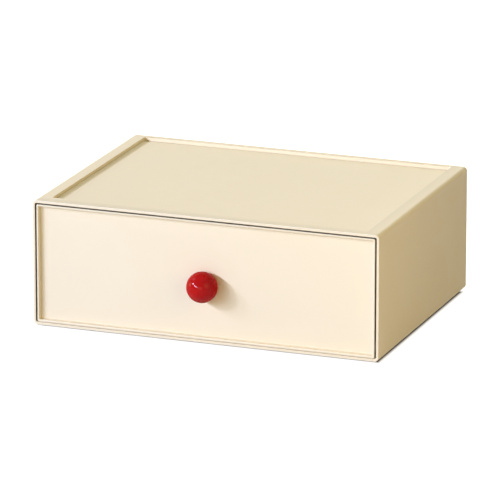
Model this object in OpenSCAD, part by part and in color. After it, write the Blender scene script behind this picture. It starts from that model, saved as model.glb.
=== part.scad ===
// Stackable drawer box. An open-ended casing with a sunken top, a rear panel that snaps
// into its back, and one sliding drawer with a sunken front and a ball knob.
// X runs to the right as seen from the front, Y to the back and Z up. The origin is the
// middle of the casing's footprint, on the plane that the feet stand on.

/* [Casing] */
// Outside width of the casing
body_w = 280; // [220:1:360]
// Outside depth of the casing
body_d = 208; // [195:1:320]
// Outside height of the casing, without the feet
body_h = 98.8; // [80:0.2:160]
// Thickness of the casing's walls
wall = 2.2; // [1.8:0.1:2.8]
// Outside radius of the casing's four long corners
corner_r = 3.4; // [3.2:0.1:6]

/* [Stacking recess] */
// Depth of the sunken part of the top
recess_depth = 3; // [3:0.5:8]
// Width of the raised rims left and right of the recess
side_rim = 11.8; // [9:0.1:16]
// Radius of the recess's upright corners
recess_corner_r = 2; // [1:0.5:6]

/* [Rear panel] */
// Thickness of the rear panel
rear_t = 2.2; // [1.6:0.1:4]
// How far the rear panel lies inside the casing's back edge
rear_inset = 0.4; // [0:0.1:2]
// Clearance round the rear panel's edge and tongues
rear_gap = 0.15; // [0.1:0.05:0.3]
// Clearance between the rear panel and its seat
rear_seat_gap = 0.2; // [0.1:0.05:0.4]
// Height of the ledge that the rear panel seats on
ledge_h = 1; // [0.6:0.1:1.4]
// Thickness of that ledge, front to back
ledge_t = 2; // [1:0.1:4]
// Width of a snap tongue
tongue_w = 14; // [8:1:20]
// Length of a snap tongue
tongue_l = 7; // [5:0.5:10]
// Thickness of a snap tongue
tongue_t = 1.4; // [1:0.1:1.6]
// How far a tongue's bead reaches into the casing's wall
bead_h = 0.45; // [0.3:0.05:0.6]
// Depth of the groove in the wall that takes the bead
groove_depth = 0.7; // [0.65:0.05:1]
// Distance of the floor tongues from the middle
floor_tongue_x = 75; // [30:1:90]
// Height of the lower side tongues above the casing's floor
low_tongue_z = 28; // [20:1:32]
// Distance of the upper side tongues below the casing's ceiling
high_tongue_z = 28; // [22:1:32]

/* [Drawer front] */
// Gap between the drawer front and the casing, left and right
front_gap_side = 0.9; // [0.5:0.1:1.5]
// Gap over the drawer front
front_gap_top = 0.7; // [0.4:0.1:1.5]
// Gap under the drawer front
front_gap_bottom = 0.3; // [0.2:0.1:0.6]
// Depth of the drawer front, flange edge to skirt edge
front_depth = 9.3; // [8.8:0.1:14]
// Thickness of the flange round the drawer front
flange_t = 1.6; // [1.2:0.1:2.4]
// How far the panel is set back behind the flange's edge
panel_set_back = 4; // [2:0.5:4.5]
// Thickness of the panel
panel_t = 2; // [1.6:0.1:2.4]
// Outside corner radius of the drawer front
front_corner_r = 1.5; // [1:0.1:3]
// Corner radius inside the flange
flange_inner_r = 0.6; // [0.4:0.1:2]
// Gap between the closed drawer front and the casing's recess wall
close_gap = 0.5; // [0.3:0.1:1]

/* [Drawer tub] */
// Thickness of the tub's walls
tub_wall = 1.8; // [1.4:0.1:2.4]
// Thickness of the tub's floor
tub_floor = 1.8; // [1.4:0.1:2.6]
// Radius of the tub's upright corners
tub_corner_r = 3; // [2.6:0.1:8]
// Clearance between the tub and the skirt of the drawer front
skirt_gap = 0.3; // [0.2:0.05:0.6]
// Gap between the tub's upper edge and the sunken top over it
tub_top_gap = 2.6; // [2:0.1:12]
// Gap behind the closed tub
tub_back_gap = 1.2; // [0.8:0.1:10]
// Width of a runner under the tub's edge
runner_w = 5; // [3:0.5:10]
// Running clearance under the runners
runner_gap = 0.2; // [0.1:0.05:0.4]
// Running clearance beside the runners
runner_side_gap = 0.9; // [0.5:0.1:1.5]
// How far the runners end short of the tub's back
runner_end = 2; // [1:0.5:10]
// Height of the stiffening bead along the tub's side edges
edge_bead_h = 2; // [1:0.5:4]
// How far that bead stands out
edge_bead_out = 1.2; // [0.6:0.1:1.6]

/* [Travel stops] */
// How far the drawer slides out
travel = 155; // [100:1:165]
// Clearance left between tab and rib when the drawer is out
stop_gap = 0.3; // [0.2:0.1:1]
// Length of a stop tab along the tub
tab_l = 8; // [5:0.5:12]
// How far a stop tab runs down the tub's wall
tab_root = 8; // [5:1:20]
// Clearance round a stop tab in the casing's side channel
tab_gap = 0.8; // [0.5:0.1:1.2]
// Thickness of a stop rib in the casing
stop_rib_t = 2.4; // [1.6:0.1:4]
// How far a stop rib hangs below the ceiling
stop_rib_drop = 3.4; // [2.6:0.1:4]

/* [Snap hooks] */
// Width of a hook behind the drawer front
hook_w = 8; // [5:0.5:12]
// Thickness of a hook
hook_t = 1.6; // [1.2:0.1:2.2]
// How far a hook's barb catches
hook_barb = 0.8; // [0.5:0.1:1.2]
// Length of a hook's barb
hook_barb_l = 1.8; // [1.2:0.1:3]
// Clearance of a hook in its slot
hook_gap = 0.2; // [0.1:0.05:0.3]
// Distance of the hooks from the tub's sides
hook_inset_x = 26; // [16:1:60]
// Distance of the hooks from the tub's floor and upper edge
hook_inset_z = 16; // [10:1:24]

/* [Knob] */
// Diameter of the ball
knob_d = 24; // [18:0.5:32]
// Diameter of the flat on which the ball seats
knob_flat_d = 17.6; // [8:0.2:18]
// How far the knob sits below the middle of the drawer front
knob_drop = 4; // [0:0.2:10]
// Diameter of the threaded insert
insert_d = 6; // [5.6:0.1:7]
// Length of the threaded insert
insert_l = 9; // [8:0.5:10]
// Width of the groove round the insert
insert_groove_w = 1.6; // [1:0.2:3]
// Depth of the groove round the insert
insert_groove = 0.4; // [0.2:0.1:0.6]
// How far the ball's bore runs past the insert
bore_extra = 1; // [0.5:0.5:2]
// Radial clearance of the insert and of the screw in it
fit_gap = 0.05; // [0.03:0.01:0.1]

/* [Screw and washer] */
// Diameter of the screw's shank
screw_d = 3.5; // [3:0.5:4.5]
// Length of the screw's shank
screw_l = 12; // [9:0.5:13]
// Diameter of the screw's head
head_d = 8; // [6.5:0.5:9]
// Height of the screw's head
head_h = 2.6; // [2:0.1:3.4]
// Height of the head's straight edge
head_edge = 0.8; // [0.4:0.1:1.4]
// Width of the cross recess across its arms
cross_w = 4.4; // [3:0.2:5]
// Width of one arm of the cross recess
cross_arm = 0.9; // [0.6:0.1:1.2]
// Depth of the cross recess
cross_depth = 1.5; // [0.8:0.1:1.8]
// Diameter of the washer
washer_d = 9.6; // [9:0.2:14]
// Thickness of the washer
washer_t = 1; // [0.5:0.1:1.6]
// Radial clearance of the shank in the washer and the walls
screw_gap = 0.15; // [0.1:0.05:0.5]

/* [Feet] */
// Diameter of a foot pad
foot_d = 14; // [8:0.5:20]
// How far a foot stands below the casing
foot_proud = 1.5; // [1:0.1:2.5]
// Depth of the socket that a foot is glued into
foot_socket = 0.8; // [0.4:0.1:1.2]
// Clearance round a foot in its socket
foot_gap = 0.15; // [0.05:0.05:0.3]
// Chamfer round a foot's lower edge
foot_chamfer = 0.3; // [0.1:0.1:0.6]
// How far the feet lie inside the outline of the recess below
foot_margin = 1; // [0.5:0.5:10]

/* [Hidden] */

$fn = 64;
CREAM = [0.945, 0.894, 0.784];
TUB_CREAM = [0.93, 0.88, 0.77];
RED = [0.78, 0.02, 0.03];
BRASS = [0.80, 0.66, 0.33];
STEEL = [0.74, 0.75, 0.77];
RUBBER = [0.36, 0.35, 0.33];
// How far a cut runs past a face, and how far a joined piece is buried
over = 1;
bury = 0.5;

// Casing
front_y = -body_d / 2;
back_y = body_d / 2;
base_z = foot_proud;
top_z = base_z + body_h;
mid_z = base_z + body_h / 2;
floor_z = base_z + wall;
ceiling_z = top_z - wall;
inner_x = body_w / 2 - wall;
inner_r = corner_r - wall;

// Rear panel and its seat
rear_front_y = back_y - rear_inset - rear_t;
seat_y = rear_front_y - rear_seat_gap;
ledge_y = seat_y - ledge_t;

// Stacking recess: its walls hang behind the drawer front and before the rear panel
front_rim = front_depth + close_gap + wall;
recess_x = body_w / 2 - side_rim;
recess_front_y = front_y + front_rim;
recess_back_y = seat_y - wall;
recess_z = top_z - recess_depth;
recess_under_z = recess_z - wall;
channel_x = recess_x + wall;

// Drawer front
front_x = inner_x - front_gap_side;
front_z0 = floor_z + front_gap_bottom;
front_z1 = ceiling_z - front_gap_top;
front_mid_z = (front_z0 + front_z1) / 2;
panel_y = front_y + panel_set_back;
panel_back_y = panel_y + panel_t;
skirt_y = front_y + front_depth;

// Drawer tub
tub_x = front_x - flange_t - skirt_gap;
tub_z0 = front_z0 + flange_t + skirt_gap;
tub_floor_z = tub_z0 + tub_floor;
tub_z1 = recess_under_z - tub_top_gap;
tub_back_y = ledge_y - tub_back_gap;
tub_inside_y = panel_back_y + tub_wall;
runner_y = skirt_y + runner_end;

// Travel stops
rib_back_y = recess_front_y + stop_rib_t;
tab_y = rib_back_y + travel + stop_gap;

// Snap hooks
hook_x = tub_x - hook_inset_x;
hook_low_z = tub_z0 + hook_inset_z;
hook_high_z = tub_z1 - hook_inset_z;

// Knob and its fixing, along one line through the panel
knob_z = front_mid_z - knob_drop;
knob_r = knob_d / 2;
knob_seat = sqrt(pow(knob_r, 2) - pow(knob_flat_d / 2, 2));
knob_y = panel_y - knob_seat;
washer_y = tub_inside_y + washer_t;
screw_hole_d = screw_d + 2 * screw_gap;

// Feet
foot_x = recess_x - foot_margin - foot_d / 2;
foot_front_y = recess_front_y + foot_margin + foot_d / 2;
foot_back_y = recess_back_y - foot_margin - foot_d / 2;

// A rectangle with round corners, centred
module rounded_rect(w, h, r) {
    square([w - 2 * r, h], center = true);
    square([w, h - 2 * r], center = true);
    for (sx = [-1, 1], sy = [-1, 1])
        translate([sx * (w / 2 - r), sy * (h / 2 - r)])
            circle(r);
}

// Runs an outline in X and Z from one Y to another
module along_y(y0, y1) {
    translate([0, y1, 0])
        rotate([90, 0, 0])
            linear_extrude(y1 - y0)
                children();
}

// Runs an outline in Y and Z for a width, centred on X
module across_x(w) {
    rotate([90, 0, 90])
        linear_extrude(w, center = true)
            children();
}

// A box from one corner to the opposite one
module span(low, high) {
    translate(low)
        cube(high - low);
}

// A round bar or bore on the knob's line, from one Y to another
module on_knob_line(d, y0, y1) {
    translate([0, y1, knob_z])
        rotate([90, 0, 0])
            cylinder(d = d, h = y1 - y0);
}

// The casing's outline, drawn in by an inset
module casing_outline(inset, r) {
    translate([0, mid_z])
        rounded_rect(body_w - 2 * inset, body_h - 2 * inset, r);
}

// The drawer front's outline, drawn in by an inset
module front_outline(inset, r) {
    translate([0, front_mid_z])
        rounded_rect(2 * (front_x - inset), front_z1 - front_z0 - 2 * inset, r);
}

// Places a snap tongue or its groove at each of the rear panel's fixing points. A tongue
// lies on its wall's inner face at z = 0, and its root is the rear panel's front at y = 0.
module at_tongues() {
    for (x = [-floor_tongue_x, floor_tongue_x])
        translate([x, rear_front_y, floor_z])
            children();
    for (side = [-1, 1], z = [floor_z + low_tongue_z, ceiling_z - high_tongue_z])
        translate([side * inner_x, rear_front_y, z])
            rotate([0, -side * 90, 0])
                children();
}

// A snap tongue with a bead near its tip
module tongue() {
    bead_y = 2 - tongue_l;
    translate([-tongue_w / 2, -tongue_l, rear_gap])
        cube([tongue_w, tongue_l + bury, tongue_t]);
    across_x(tongue_w - 2)
        polygon([
            [bead_y - 1, rear_gap + bury], [bead_y - 1, rear_gap], [bead_y, -bead_h],
            [bead_y + 1, rear_gap], [bead_y + 1, rear_gap + bury]
        ]);
}

// The groove and the notch in the ledge that a snap tongue needs
module tongue_room() {
    half_w = tongue_w / 2 + rear_gap + bury;
    span([-half_w, 0.6 - tongue_l, -groove_depth], [half_w, 3.2 - tongue_l, bury]);
    span([-half_w, -tongue_l - bury, 0], [half_w, over, ledge_h + over]);
}

// The hollow that the drawer and the rear panel go into
module casing_hollow() {
    intersection() {
        union() {
            along_y(front_y - over, ledge_y)
                casing_outline(wall, inner_r);
            along_y(ledge_y - bury, seat_y + bury)
                casing_outline(wall + ledge_h, inner_r);
            along_y(seat_y, back_y + over)
                casing_outline(wall, inner_r);
        }
        union() {
            span([-body_w, -body_d, -over], [body_w, body_d, recess_under_z]);
            span([-body_w, -body_d, 0], [body_w, recess_front_y - wall, top_z]);
            span([-body_w, seat_y, 0], [body_w, body_d, top_z]);
            span([-body_w, -body_d, 0], [-channel_x, body_d, top_z]);
            span([channel_x, -body_d, 0], [body_w, body_d, top_z]);
        }
    }
}

// The sunken part of the top
module stacking_recess() {
    translate([0, (recess_front_y + recess_back_y) / 2, recess_z])
        linear_extrude(recess_depth + over)
            rounded_rect(2 * recess_x, recess_back_y - recess_front_y, recess_corner_r);
}

// Ribs in the side channels that stop the drawer's tabs
module stop_ribs() {
    for (side = [-1, 1]) {
        low_x = side > 0 ? channel_x - bury : -inner_x - bury;
        high_x = side > 0 ? inner_x + bury : -channel_x + bury;
        span(
            [low_x, recess_front_y, ceiling_z - stop_rib_drop],
            [high_x, rib_back_y, ceiling_z + bury]
        );
    }
}

// One open-ended moulding: four walls, the sunken top and its hollow rims
module casing_shell() {
    color(CREAM) {
        difference() {
            along_y(front_y, back_y)
                casing_outline(0, corner_r);
            casing_hollow();
            stacking_recess();
            at_tongues()
                tongue_room();
            at_feet()
                cylinder(d = foot_d + 2 * foot_gap, h = foot_proud + foot_socket);
        }
        stop_ribs();
    }
}

// The plate that closes the back, held by beaded tongues
module rear_panel() {
    color(CREAM) {
        along_y(rear_front_y, back_y - rear_inset)
            casing_outline(wall + rear_gap, inner_r);
        at_tongues()
            tongue();
    }
}

// Places a foot at each corner
module at_feet() {
    for (x = [-foot_x, foot_x], y = [foot_front_y, foot_back_y])
        translate([x, y, 0])
            children();
}

// A round rubber pad with a chamfered lower edge
module foot(x, y) {
    color(RUBBER)
        translate([x, y, 0])
            rotate_extrude()
                polygon([
                    [0, 0], [foot_d / 2 - foot_chamfer, 0], [foot_d / 2, foot_chamfer],
                    [foot_d / 2, foot_proud + foot_socket], [0, foot_proud + foot_socket]
                ]);
}

// The outline of a hook in Y and Z, with its root in the panel and its barb upward
module hook_outline() {
    catch_y = tub_wall + hook_gap;
    polygon([
        [-bury, -hook_t / 2], [catch_y + hook_barb_l, -hook_t / 2],
        [catch_y + hook_barb_l, hook_t / 2], [catch_y, hook_t / 2 + hook_barb],
        [catch_y, hook_t / 2], [-bury, hook_t / 2]
    ]);
}

// Places a hook or its slot at each of the four fixing points, barbs outward
module at_hooks() {
    for (x = [-hook_x, hook_x]) {
        translate([x, panel_back_y, hook_high_z])
            children();
        translate([x, panel_back_y, hook_low_z])
            mirror([0, 0, 1])
                children();
    }
}

// The slot in the tub's wall, with room for the barb to bend through
module hook_slot() {
    half_w = hook_w / 2 + hook_gap;
    span(
        [-half_w, -over, -hook_t / 2 - hook_barb - hook_gap],
        [half_w, tub_wall + over, hook_t / 2 + hook_gap]
    );
}

// The flanged front of the drawer, with a skirt round the tub's end
module drawer_front() {
    color(CREAM) {
        difference() {
            along_y(front_y, skirt_y)
                front_outline(0, front_corner_r);
            along_y(front_y - over, panel_y)
                front_outline(flange_t, flange_inner_r);
            along_y(panel_back_y, skirt_y + over)
                front_outline(flange_t, flange_inner_r);
            on_knob_line(screw_hole_d, panel_y - over, panel_back_y + over);
        }
        at_hooks()
            across_x(hook_w)
                hook_outline();
    }
}

// The tub's outline in X and Y, drawn in by an inset
module tub_outline(inset) {
    translate([0, (panel_back_y + tub_back_y) / 2])
        rounded_rect(
            2 * (tub_x - inset), tub_back_y - panel_back_y - 2 * inset, tub_corner_r - inset
        );
}

// What the tub has on one side: its runner, its edge bead and its stop tab
module tub_side() {
    span(
        [inner_x - runner_side_gap - runner_w, runner_y, floor_z + runner_gap],
        [inner_x - runner_side_gap, tub_back_y - runner_end, tub_floor_z]
    );
    span(
        [tub_x - bury, runner_y, tub_z1 - edge_bead_h],
        [tub_x + edge_bead_out, tub_back_y - tub_corner_r, tub_z1]
    );
    span(
        [tub_x - tub_wall, tab_y, tub_z1 - tab_root],
        [inner_x - tab_gap, tab_y + tab_l, ceiling_z - tab_gap]
    );
}

// The open drawer body that slides on the casing's floor
module drawer_tub() {
    color(TUB_CREAM)
        difference() {
            union() {
                translate([0, 0, tub_z0])
                    linear_extrude(tub_z1 - tub_z0)
                        tub_outline(0);
                tub_side();
                mirror([1, 0, 0])
                    tub_side();
            }
            translate([0, 0, tub_floor_z])
                linear_extrude(tub_z1)
                    tub_outline(tub_wall);
            at_hooks()
                hook_slot();
            on_knob_line(screw_hole_d, panel_back_y - over, tub_inside_y + over);
        }
}

// The ball, with a flat seat and a blind bore for the insert
module knob_ball() {
    color(RED)
        difference() {
            translate([0, knob_y, knob_z])
                rotate([90, 0, 0])
                    sphere(r = knob_r);
            span([-knob_d, panel_y, knob_z - knob_d], [knob_d, panel_y + knob_d, knob_z + knob_d]);
            on_knob_line(
                insert_d + 2 * fit_gap, panel_y - insert_l - bore_extra, panel_y + over
            );
        }
}

// The threaded insert in the ball, with a groove that locks it
module knob_insert() {
    groove_y = panel_y - insert_l / 2;
    color(BRASS)
        difference() {
            on_knob_line(insert_d, panel_y - insert_l, panel_y);
            on_knob_line(screw_d + 2 * fit_gap, panel_y - insert_l - over, panel_y + over);
            difference() {
                on_knob_line(
                    insert_d + over, groove_y - insert_groove_w / 2, groove_y + insert_groove_w / 2
                );
                on_knob_line(
                    insert_d - 2 * insert_groove, groove_y - insert_groove_w,
                    groove_y + insert_groove_w
                );
            }
        }
}

// The pan-head screw, put in from inside the drawer
module knob_screw() {
    dome_r = head_d / 2;
    color(STEEL)
        difference() {
            union() {
                on_knob_line(screw_d, washer_y - screw_l, washer_y + bury);
                on_knob_line(head_d, washer_y, washer_y + head_edge);
                translate([0, washer_y + head_edge, knob_z])
                    rotate([-90, 0, 0])
                        rotate_extrude()
                            polygon([
                                [0, -bury], [dome_r, 0],
                                for (a = [15:15:75])
                                    [dome_r * cos(a), (head_h - head_edge) * sin(a)],
                                [0, head_h - head_edge]
                            ]);
            }
            for (turn = [0, 90])
                translate([0, washer_y + head_h - cross_depth, knob_z])
                    rotate([0, turn, 0])
                        translate([-cross_w / 2, 0, -cross_arm / 2])
                            cube([cross_w, cross_depth + over, cross_arm]);
        }
}

// The washer under the screw's head
module knob_washer() {
    color(STEEL)
        difference() {
            on_knob_line(washer_d, tub_inside_y, washer_y);
            on_knob_line(screw_hole_d, tub_inside_y - over, washer_y + over);
        }
}

casing_shell();
rear_panel();
foot(-foot_x, foot_front_y);  // foot_front_left
foot(foot_x, foot_front_y);  // foot_front_right
foot(-foot_x, foot_back_y);  // foot_back_left
foot(foot_x, foot_back_y);  // foot_back_right
drawer_tub();
drawer_front();
knob_ball();
knob_insert();
knob_screw();
knob_washer();
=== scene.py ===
"""Looks of a stackable drawer box with a ball knob, in a small photo studio.

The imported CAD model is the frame. Plain mouldings are softened copies of their CAD
nodes, and every other piece is a surface worked out with numpy. Sizes are millimetres,
as in the part's source, and become metres where a mesh is made.
"""

import logging
import math
from dataclasses import dataclass
from enum import Enum
from functools import cached_property, partial, reduce
from typing import Any

import bmesh
import bpy
import numpy as np
from mathutils import Matrix, Vector


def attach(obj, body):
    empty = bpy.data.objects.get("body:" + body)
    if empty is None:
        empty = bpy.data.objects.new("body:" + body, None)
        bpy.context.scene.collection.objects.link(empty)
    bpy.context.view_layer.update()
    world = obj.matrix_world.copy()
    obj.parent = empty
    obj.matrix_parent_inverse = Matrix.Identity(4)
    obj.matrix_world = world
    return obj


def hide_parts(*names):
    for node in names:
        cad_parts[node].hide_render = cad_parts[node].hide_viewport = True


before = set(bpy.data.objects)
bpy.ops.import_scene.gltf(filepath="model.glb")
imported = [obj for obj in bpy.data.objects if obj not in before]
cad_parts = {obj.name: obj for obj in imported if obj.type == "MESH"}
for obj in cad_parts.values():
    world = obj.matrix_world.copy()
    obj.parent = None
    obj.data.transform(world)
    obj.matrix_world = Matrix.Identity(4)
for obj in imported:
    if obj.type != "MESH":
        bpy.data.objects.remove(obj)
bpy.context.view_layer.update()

log = logging.getLogger("drawer_box")

Array = np.ndarray
Socket = bpy.types.NodeSocket
Pair = tuple[float, float]
Colour = tuple[float, float, float]
Point = tuple[float, float, float]

MM = 0.001  # metres in a millimetre
WELD = 2e-6  # how near points are merged, in metres
FLAT = 0.5  # the angle under which neighbouring faces count as flat, in degrees
SHARP = 32.0  # the angle over which the edge between them gets a round, in degrees
TINY = 1e-6
EDGE = "edge"  # the attribute that holds the edge marks
USUAL = (0.3, 0.7)  # where nearly all of a cloudy noise lies
WHITE = (1.0, 1.0, 1.0)


class Body(Enum):
    """The CAD bodies that a piece can ride on."""

    CASING = "casing"
    DRAWER = "drawer"


class Slot(Enum):
    """The record's material slots."""

    CREAM = "cream_plastic"
    TUB = "tub_plastic"
    RED = "red_lacquer"
    BRASS = "brass"
    STEEL = "zinc_steel"
    RUBBER = "grey_rubber"


class Axis(Enum):
    """The line that a turned piece is spun about."""

    ALONG_Y = (0, 2, 1)
    ALONG_Z = (0, 1, 2)


# -------- surfaces


@dataclass
class Shell:
    """A mesh in the making.

    points holds millimetres, quads and triangles hold rows of point numbers, and edge
    says for each point how much it lies on an outward edge, up to 1, or down in a
    hollow corner, down to -1.
    """

    points: Array
    quads: Array
    triangles: Array
    edge: Array

    def as_object(self, name: str) -> bpy.types.Object:
        """Puts the shell into the scene.

        Args:
            name: The new object's name.

        Returns:
            The object, at the origin, with smooth faces.
        """
        mesh = bpy.data.meshes.new(name)
        faces = self.quads.tolist() + self.triangles.tolist()
        mesh.from_pydata((self.points * MM).tolist(), [], faces)
        return placed(mesh, self.edge)


def linked(name: str, data: bpy.types.ID) -> bpy.types.Object:
    """A new object in the scene, at the origin."""
    new = bpy.data.objects.new(name, data)
    bpy.context.scene.collection.objects.link(new)
    return new


def placed(mesh: bpy.types.Mesh, marks: Array) -> bpy.types.Object:
    """Links a mesh into the scene with smooth faces whose normals favour the flats.

    Args:
        mesh: The finished mesh, with its place in its points.
        marks: The edge mark of each point.

    Returns:
        The new object, named as its mesh.
    """
    held = mesh.attributes.new(EDGE, "FLOAT", "POINT")
    held.data.foreach_set("value", marks.astype(np.float32))
    mesh.polygons.foreach_set("use_smooth", np.ones(len(mesh.polygons), bool))
    mesh.update()
    piece = linked(mesh.name, mesh)
    weighted = piece.modifiers.new("flat_faces", "WEIGHTED_NORMAL")
    weighted.mode, weighted.weight, weighted.keep_sharp = "FACE_AREA", 90, False
    return piece


def joined(shells: list[Shell]) -> Shell:
    """Several shells as one.

    Args:
        shells: The shells, each closed by itself.

    Returns:
        One shell that holds them all.
    """
    starts = np.cumsum([0] + [len(s.points) for s in shells[:-1]])
    return Shell(
        np.vstack([s.points for s in shells]),
        np.vstack([s.quads + n for s, n in zip(shells, starts)]),
        np.vstack([s.triangles + n for s, n in zip(shells, starts)]),
        np.concatenate([s.edge for s in shells]),
    )


def grid(points: Array, edge: Array, closed: bool) -> Shell:
    """The quads of a grid of points that runs round and round.

    Point (i, j) is the one at step i round the loop and step j along the profile. A
    quad joins steps i and i + 1 with steps j and j + 1, and the loop always closes. The
    sum of each triangle's a . (b x c), six times the volume inside, is negative where
    the faces point inwards, and they are then turned.

    Args:
        points: Rows (u, v, 3) in millimetres.
        edge: The edge mark of each point, (u, v).
        closed: Whether the profile closes on itself. If not, each of its ends is capped
            by a fan to the middle of the loop there.

    Returns:
        The shell, facing outwards.
    """
    number = np.arange(edge.size).reshape(edge.shape)
    ahead = np.roll(number, -1, axis=0)
    sides = number, ahead, np.roll(ahead, -1, axis=1), np.roll(number, -1, axis=1)
    quads = np.stack(sides, axis=2)[:, : None if closed else -1].reshape(-1, 4)
    flat, marks, triangles = points.reshape(-1, 3), edge.ravel(), np.zeros((0, 3), int)
    if not closed:
        first = np.full(len(number), number.size)
        fans = (first, ahead[:, 0], number[:, 0]), (first + 1, number[:, -1], ahead[:, -1])
        triangles = np.vstack([np.stack(fan, axis=1) for fan in fans])
        flat = np.vstack([flat, points[:, [0, -1]].mean(axis=0)])
        marks = np.append(marks, edge[0, [0, -1]])
    halves = np.vstack([quads[:, [0, 1, 2]], quads[:, [0, 2, 3]], triangles])
    a, b, c = (flat[halves[:, n]] for n in range(3))
    if np.einsum("ij,ij->", a, np.cross(b, c)) < 0:
        quads, triangles = quads[:, ::-1], triangles[:, ::-1]
    return Shell(flat, quads, triangles, marks)


def unit(arrows: Array) -> Array:
    """The arrows of an array's last axis, each at length 1."""
    return arrows / np.maximum(np.linalg.norm(arrows, axis=-1, keepdims=True), TINY)


def softened(rows: list[tuple[float, ...]], closed: bool, steps: int = 6) -> Array:
    """A profile with its corners rounded.

    A corner of radius r is cut where an arc of that radius touches both of its sides:
    r over the tangent of half its angle away from it. Between those points the profile
    turns evenly about the arc's centre. The edge mark rises to its full value in the
    middle of the arc, as the sine of the way along it.

    Args:
        rows: (across, along, radius, edge mark) of each corner, in order.
        closed: Whether the last corner is joined to the first.
        steps: Points along each arc.

    Returns:
        Rows of (across, along, edge mark).
    """
    table = np.array(rows, float)
    corner, radius, mark = table[:, :2], table[:, 2], table[:, 3]
    before = unit(np.roll(corner, 1, axis=0) - corner)
    after = unit(np.roll(corner, -1, axis=0) - corner)
    half = np.arccos(np.clip((before * after).sum(1), TINY - 1, 1 - TINY)) / 2
    if not closed:
        radius = np.where(np.arange(len(radius)) % (len(radius) - 1) == 0, 0, radius)
    cut = (radius / np.tan(half))[:, None]
    centre = corner + unit(before + after) * (radius / np.sin(half))[:, None]
    start, end = corner + before * cut - centre, corner + after * cut - centre
    turn = (np.pi - 2 * half)[:, None, None]
    way = np.linspace(0, 1, steps)[:, None]
    arc = np.sin((1 - way) * turn) * start[:, None] + np.sin(way * turn) * end[:, None]
    arc = centre[:, None] + arc / np.sin(turn)
    arc = np.where(radius[:, None, None] > 0, arc, corner[:, None])
    marks = mark[:, None] * np.sin(np.pi * way[:, 0])
    kept = (radius[:, None] > 0) | (np.arange(steps) == 0)
    return np.column_stack([arc[kept], marks[kept]])


def dense(profile: Array, step: float, closed: bool) -> Array:
    """A profile with points added along its long sides.

    Every column is read evenly along the profile's length, at its own points and at
    equal steps between them.

    Args:
        profile: Rows of (across, along, edge mark).
        step: The longest stretch that stays without a point, in millimetres.
        closed: Whether the last row is joined to the first.

    Returns:
        The longer profile.
    """
    rows = np.vstack([profile, profile[:1]]) if closed else profile
    length = np.append(0, np.cumsum(np.linalg.norm(np.diff(rows[:, :2], axis=0), axis=1)))
    evenly = np.arange(0, length[-1], step)
    near = np.abs(evenly[:, None] - length).min(axis=1)
    at = np.sort(np.concatenate([length, evenly[near > step * 0.3]]))
    found = np.column_stack([np.interp(at, length, rows[:, n]) for n in range(3)])
    return found[:-1] if closed else found


def turns(steps: int) -> Array:
    """The angles of equal steps once round, as a column."""
    return np.linspace(0, 2 * np.pi, steps, endpoint=False)[:, None]


def spun(
    profile: Array, middle: Point, axis: Axis, steps: int, closed: bool
) -> tuple[Array, Array]:
    """A profile spun once round an axis.

    Point (i, j) lies at angle 2 pi i over steps, at the radius of profile row j, and at
    that row's height along the axis.

    Args:
        profile: Rows of (radius, height, edge mark).
        middle: A point of the axis, in millimetres, whose height is added.
        axis: The axis's direction.
        steps: Steps round the axis.
        closed: Whether the profile closes on itself. Otherwise both ends are caps.

    Returns:
        Points (steps, rows, 3) and edge marks (steps, rows).
    """
    rows = profile if closed else profile[1:-1]
    angle = turns(steps)
    height = np.broadcast_to(rows[:, 1], (steps, len(rows)))
    local = [rows[:, 0] * np.cos(angle), rows[:, 0] * np.sin(angle), height]
    points = np.stack([local[n] for n in axis.value], axis=2) + np.array(middle)
    return points, np.broadcast_to(rows[:, 2], height.shape)


def turned(profile: Array, middle: Point, axis: Axis, steps: int, closed: bool) -> Shell:
    """The shell of a spun profile.

    Args:
        profile, middle, axis, steps, closed: As for spun.

    Returns:
        The shell. The ends of an open profile are its poles.
    """
    points, edge = spun(profile, middle, axis, steps, closed)
    shell = grid(points, edge, closed)
    if not closed:
        along = axis.value.index(2)
        shell.points[-2:, along] = profile[[0, -1], 1] + middle[along]
    return shell


def bend(corner: bmesh.types.BMVert) -> float:
    """Which way the surface bends at a point.

    The point stands above the mean of its neighbours, along its normal, on an outward
    bend, and below it on an inward one.

    Args:
        corner: The point.

    Returns:
        1 for outwards and -1 for inwards.
    """
    around = [edge.other_vert(corner).co for edge in corner.link_edges]
    mean = sum(around, Vector()) / len(around)
    return 1.0 if (corner.co - mean).dot(corner.normal) > 0 else -1.0


def softened_copy(node: str, radius: float) -> bpy.types.Object:
    """A copy of a CAD node with a small round along each sharp edge.

    Args:
        node: The CAD node's name.
        radius: How far the round reaches from each edge, in millimetres.

    Returns:
        The new object. The CAD node's own mesh stays as it is.
    """
    work = bmesh.new()
    work.from_mesh(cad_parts[node].data)
    bmesh.ops.remove_doubles(work, verts=work.verts, dist=WELD)
    bmesh.ops.dissolve_limit(
        work, angle_limit=math.radians(FLAT), verts=work.verts, edges=work.edges
    )
    limit = math.radians(SHARP)
    edges = [e for e in work.edges if e.is_manifold and e.calc_face_angle(0) > limit]
    made = bmesh.ops.bevel(
        work, geom=edges, offset=radius * MM, offset_type="OFFSET", segments=3,
        profile=0.5, affect="EDGES", clamp_overlap=False, loop_slide=True, material=-1,
    )
    rounds = set(made["faces"])
    log.info("%s: %d edges rounded", node, len(edges))
    work.normal_update()
    marks = [bend(v) if all(f in rounds for f in v.link_faces) else 0.0 for v in work.verts]
    mesh = bpy.data.meshes.new(f"{node}_moulding")
    work.to_mesh(mesh)
    work.free()
    return placed(mesh, np.array(marks))


# -------- finishes


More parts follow.
